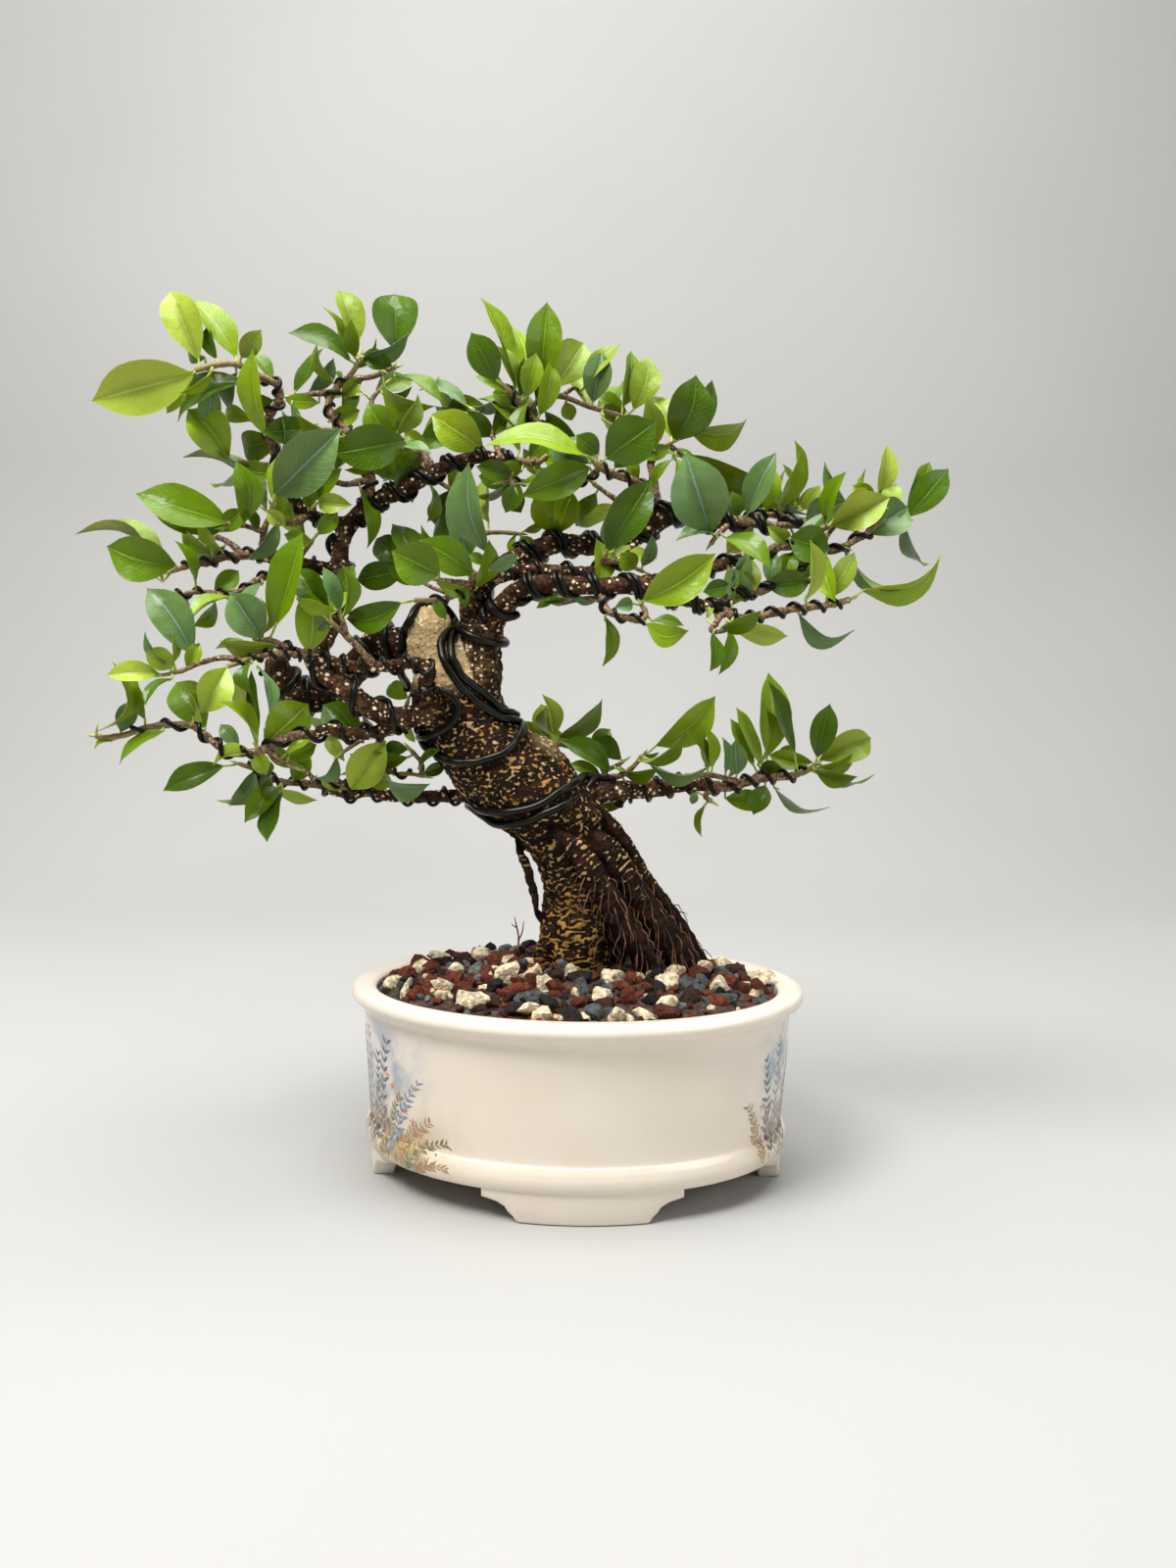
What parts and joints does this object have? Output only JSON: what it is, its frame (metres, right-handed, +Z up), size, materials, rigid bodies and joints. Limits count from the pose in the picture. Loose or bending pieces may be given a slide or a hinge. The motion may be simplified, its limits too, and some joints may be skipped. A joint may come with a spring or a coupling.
{
  "type": "tiger bark ficus bonsai",
  "caption": "Slanting ficus bonsai with wired limbs and open leafy pads, standing in gravel in an oval glazed pot on four feet.",
  "frame": {"origin": "centre of the bounding box in X and Y, at the underside of the pot's feet", "axes": "+X to the right along the pot's long side, +Z up, front towards -Y"},
  "size_m": [0.3848, 0.152, 0.3995],
  "materials": {
    "glaze": "glossy warm white glaze with small painted sprays",
    "gravel": "matt mixed pumice, lava and slate gravel over soil",
    "bark": "matt bark with pale dashes",
    "wire": "satin black anodised",
    "leaves": "glossy green, pale midribs"
  },
  "bodies": {
    "root": {"pot": "glaze", "gravel": "gravel", "trunk": "bark", "stubBand": "wire", "crossInner": "wire", "crossOuter": "wire", "forkBand": "wire", "forkPairLeft": "wire", "forkPairRight": "wire", "leftLoop": "wire", "waistBand": "wire", "lowBandUpper": "wire", "lowBandLower": "wire", "coilDarkEnd": "wire", "coilDarkRoot": "wire", "coilSpeckled": "wire", "coilUpper": "wire", "coilFork": "wire", "coilShelf": "wire", "coilLowRight": "wire", "coilLowLeft": "wire", "coilLowest": "wire", "coilHook": "wire", "coilTip": "wire", "tipLeft": "leaves", "crownLeft": "leaves", "bigLeft": "leaves", "crownRidge": "leaves", "ridgeEnd": "leaves", "crownMiddle": "leaves", "crownKnot": "leaves", "tallTwig": "leaves", "centreTwigs": "leaves", "longShelf": "leaves", "middleLoop": "leaves", "middleUp": "leaves", "shoulderRight": "leaves", "farRight": "leaves", "lowShelfRight": "leaves", "lowBranchRight": "leaves", "behindTrunk": "leaves", "farLeft": "leaves", "outLow": "leaves", "midLeft": "leaves", "innerLeft": "leaves", "lowTipLeft": "leaves", "lowMidLeft": "leaves", "lowestSpray": "leaves"}
  },
  "joints": []
}
